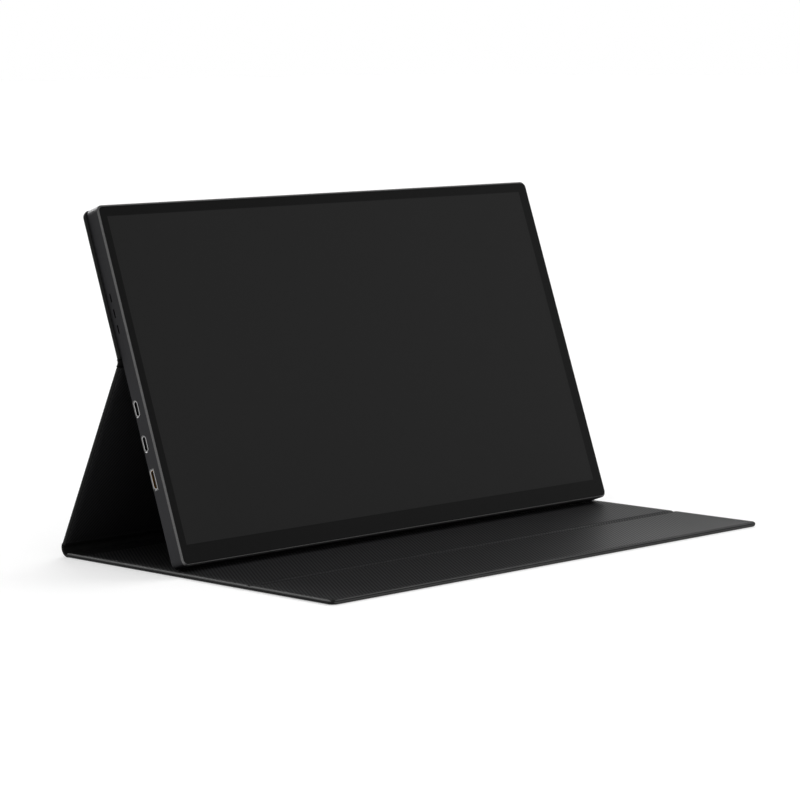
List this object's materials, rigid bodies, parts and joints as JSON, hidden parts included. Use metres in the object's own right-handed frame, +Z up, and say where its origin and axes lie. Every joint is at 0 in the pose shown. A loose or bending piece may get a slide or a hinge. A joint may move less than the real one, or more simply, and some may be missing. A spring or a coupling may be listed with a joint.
{
  "type": "portable monitor with cover",
  "caption": "Flat portable monitor held upright by a folding cover that forms its own stand, with sockets and loudspeaker slots in its sides.",
  "frame": {"origin": "on the table, under the middle of the standing monitor and its opened cover", "axes": "+X along the screen from its port side to its button side, +Y from the front edge of the cover to its rear fold, +Z up"},
  "size_m": [0.3614, 0.2304, 0.2065],
  "materials": {
    "housing": "dark anodised, fine blasted",
    "screen_glass": "matt black cover glass",
    "tape": "black foam tape",
    "cell": "polarised glass",
    "film": "milky diffuser film",
    "guide": "clear acrylic",
    "diodes": "white diodes on a strip",
    "tray": "bare pressed sheet",
    "circuit_board": "green solder mask",
    "ribbon": "amber ribbon",
    "moulding": "black moulding",
    "plated_steel": "plated",
    "gilt": "gilt socket and contacts",
    "buttons": "dark anodised",
    "magnets": "nickel plated magnet",
    "cover_skin": "black grained synthetic leather",
    "stiffener": "grey board",
    "lining": "fine twill microfibre"
  },
  "bodies": {
    "base_panel": {"base_skin": "cover_skin", "base_board": "stiffener", "spine_board": "stiffener", "base_lining": "lining", "base_magnets": "magnets", "rear_fold_strip": "cover_skin", "crease_strip": "cover_skin"},
    "back_panel": {"kick_skin": "cover_skin", "kick_board": "stiffener", "kick_lining": "lining", "kick_magnets": "magnets", "back_fold_strip": "cover_skin"},
    "front_panel": {"flap_skin": "cover_skin", "flap_board": "stiffener", "flap_lining": "lining", "flap_magnets": "magnets"},
    "power_button": {"power_button": "buttons"},
    "menu_rocker": {"menu_rocker": "buttons"},
    "monitor": {"rear_housing": "housing", "cover_glass": "screen_glass", "glass_tape": "tape", "lcd_cell": "cell", "optical_films": "film", "light_guide": "guide", "led_bar": "diodes", "reflector_sheet": "film", "panel_tray": "tray", "panel_source_board": "circuit_board", "panel_flat_cable": "ribbon", "main_board": "circuit_board", "board_chips": "moulding", "shield_can": "plated_steel", "board_screws": "plated_steel", "usb_c_socket_upper": "plated_steel", "usb_c_socket_lower": "plated_steel", "usb_c_tongues": "moulding", "mini_hdmi_socket": "gilt", "mini_hdmi_tongue": "moulding", "mini_hdmi_contacts": "gilt", "speaker_left": "moulding", "speaker_right": "moulding", "headphone_jack": "moulding", "button_board": "circuit_board", "tact_switches": "plated_steel", "control_flat_cable": "ribbon", "rocker_pin": "plated_steel", "housing_magnets": "magnets", "upper_skin": "cover_skin", "upper_board": "stiffener", "upper_lining": "lining", "upper_magnets": "magnets"}
  },
  "joints": [
    {"name": "stand_fold", "type": "hinge", "parent": "base_panel", "child": "back_panel", "pos_m": [0, 0.10975, 0.0055], "axis": [-1, 0, 0], "range_deg": [0, 116.21], "deforming": ["rear_fold_strip"]},
    {"name": "back_fold", "type": "hinge", "parent": "back_panel", "child": "monitor", "pos_m": [0, 0.0604, 0.11752], "axis": [1, 0, 0], "range_deg": [0, 45.71], "deforming": ["back_fold_strip"]},
    {"name": "front_fold", "type": "hinge", "parent": "base_panel", "child": "front_panel", "pos_m": [0, -0.04825, 0.0027], "axis": [-1, 0, 0], "range_deg": [0, 150], "deforming": ["crease_strip"]},
    {"name": "power_press", "type": "slide", "parent": "monitor", "child": "power_button", "axis": [-1, 0, 0], "range_m": [0, 0.0003], "stiffness_N_per_m": 800},
    {"name": "rocker_tilt", "type": "hinge", "parent": "monitor", "child": "menu_rocker", "pos_m": [0.17555, 0.03964, 0.07448], "axis": [0, -0.9426, 0.3338], "range_deg": [-2.2, 2.2], "stiffness_Nm_per_rad": 0.1}
  ],
  "couplings": [
    {"joint": "back_fold", "follows": "stand_fold", "ratio": 0.39334}
  ]
}
